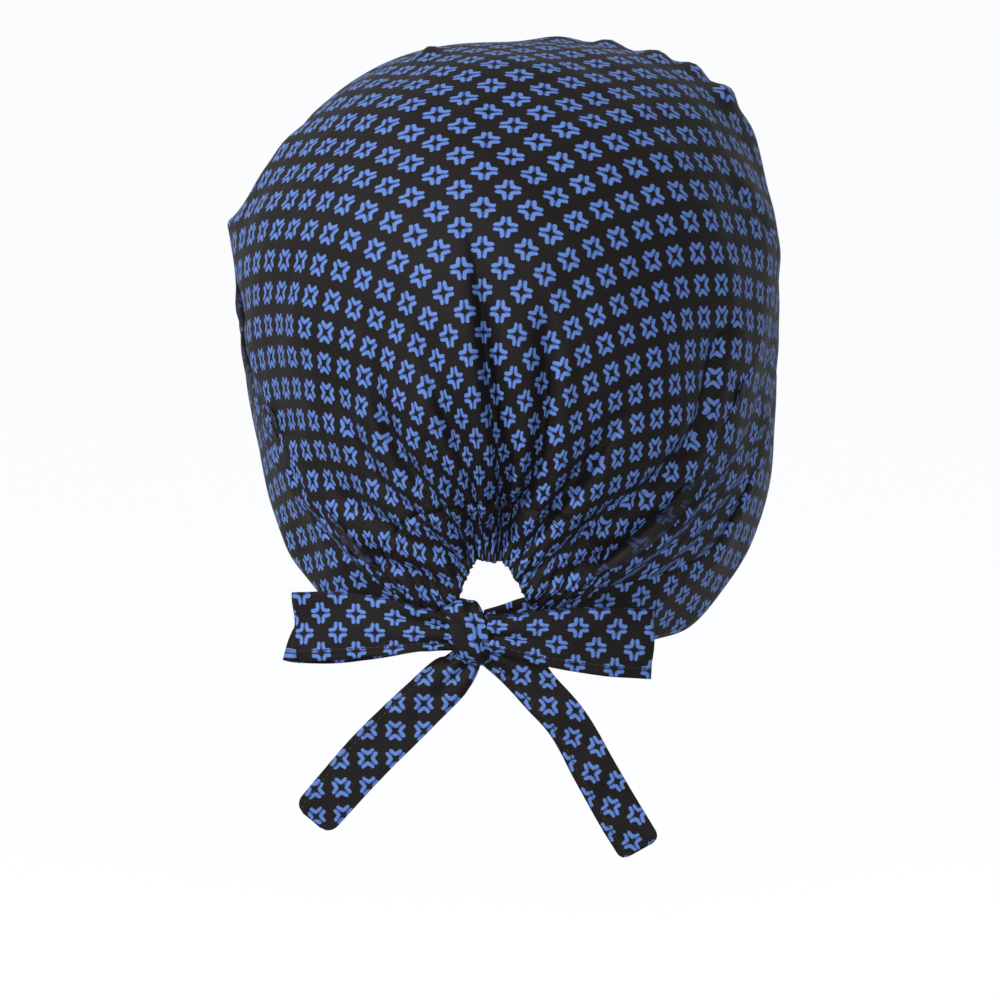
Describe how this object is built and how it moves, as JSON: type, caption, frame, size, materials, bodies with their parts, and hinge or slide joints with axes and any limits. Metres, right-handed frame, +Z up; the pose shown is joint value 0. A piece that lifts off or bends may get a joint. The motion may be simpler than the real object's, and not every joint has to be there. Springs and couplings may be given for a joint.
{
  "type": "surgical scrub cap",
  "caption": "Tie-back surgical scrub cap in printed black cotton, gathered at the nape over a keyhole gap and tied in a bow.",
  "frame": {"origin": "mount head_seat: the top of the wearer's head, under the middle of the crown", "axes": "+Z up along the wearer's body, the wearer looks along -Y, the wearer's left is +X"},
  "size_m": [0.1838, 0.213, 0.2597],
  "materials": {
    "printed_cotton": "soft sateen weave"
  },
  "bodies": {
    "root": {"crown_panel": "printed_cotton", "front_band": "printed_cotton", "nape_casing": "printed_cotton", "tie_lead_left": "printed_cotton", "tie_lead_right": "printed_cotton", "bow_loop_left": "printed_cotton", "bow_loop_right": "printed_cotton", "knot": "printed_cotton", "tail_left": "printed_cotton", "tail_right": "printed_cotton"}
  },
  "joints": []
}
